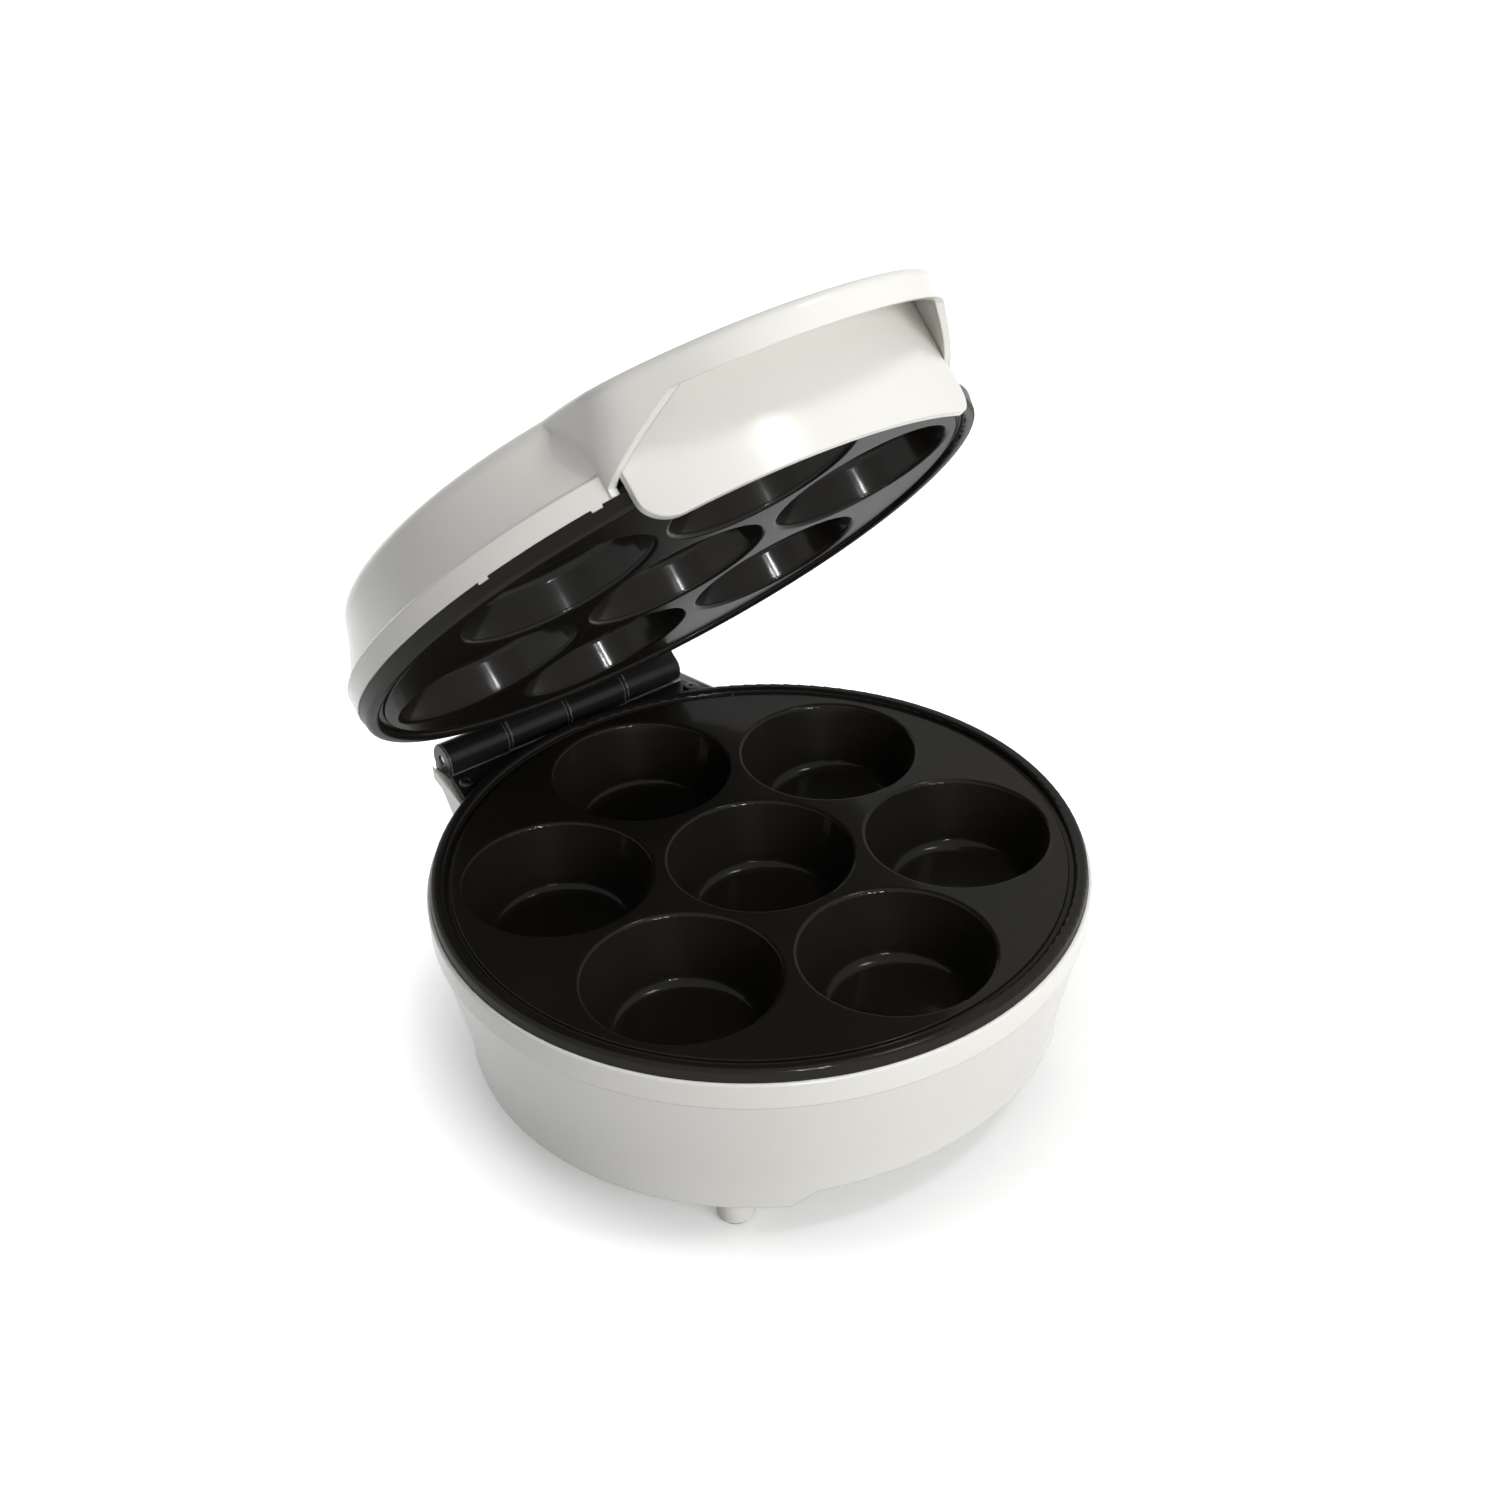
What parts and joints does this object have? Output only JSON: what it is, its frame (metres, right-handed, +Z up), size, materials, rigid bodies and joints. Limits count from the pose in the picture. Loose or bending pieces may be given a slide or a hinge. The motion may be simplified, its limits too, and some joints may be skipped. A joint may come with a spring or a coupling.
{
  "type": "cupcake maker",
  "caption": "Round countertop cupcake maker with a hinged lid: white moulded base and lid, dark non-stick plates with round wells.",
  "frame": {"origin": "on the table plane, under the centre of the bounding box of the open object", "axes": "+Z up, +X to the right seen from the handle side, +Y from the handle towards the hinge"},
  "size_m": [0.2204, 0.244, 0.2826],
  "materials": {
    "white_plastic": "glossy moulded",
    "cover_plastic": "fine texture",
    "nonstick": "black non-stick coating, satin",
    "black_steel": "black semi-gloss paint",
    "steel": "bright",
    "dark_screw": "black oxide",
    "sheet_aluminium": "mill finish",
    "element_sheath": "heat-dulled",
    "rubber": "matte",
    "gland_plastic": "satin",
    "ceramic": "matte",
    "red_lens": "translucent",
    "green_lens": "translucent"
  },
  "bodies": {
    "base": {"base_shell": "white_plastic", "bottom_cover": "cover_plastic", "cover_screws": "dark_screw", "feet": "white_plastic", "foot_pads": "rubber", "lower_plate": "nonstick", "lower_element": "element_sheath", "lower_reflector": "sheet_aluminium", "lower_pan_screws": "steel", "thermostat": "ceramic", "thermal_fuse": "steel", "terminal_block": "ceramic", "cord_gland": "gland_plastic", "base_hinge_leaf": "black_steel", "base_leaf_screws": "dark_screw", "hinge_pin": "steel"},
    "lid": {"lid_shell": "white_plastic", "handle_apron": "white_plastic", "upper_plate": "nonstick", "upper_element": "element_sheath", "upper_reflector": "sheet_aluminium", "upper_pan_screws": "steel", "lid_hinge_leaf": "black_steel", "lid_leaf_screws": "dark_screw", "lamp_plate": "cover_plastic", "power_lens": "red_lens", "ready_lens": "green_lens"}
  },
  "joints": [
    {"name": "lid_hinge", "type": "hinge", "parent": "base", "child": "lid", "pos_m": [0, 0.10651, 0.0753], "axis": [-1, 0, 0], "range_deg": [-46.7, 48.3]}
  ]
}
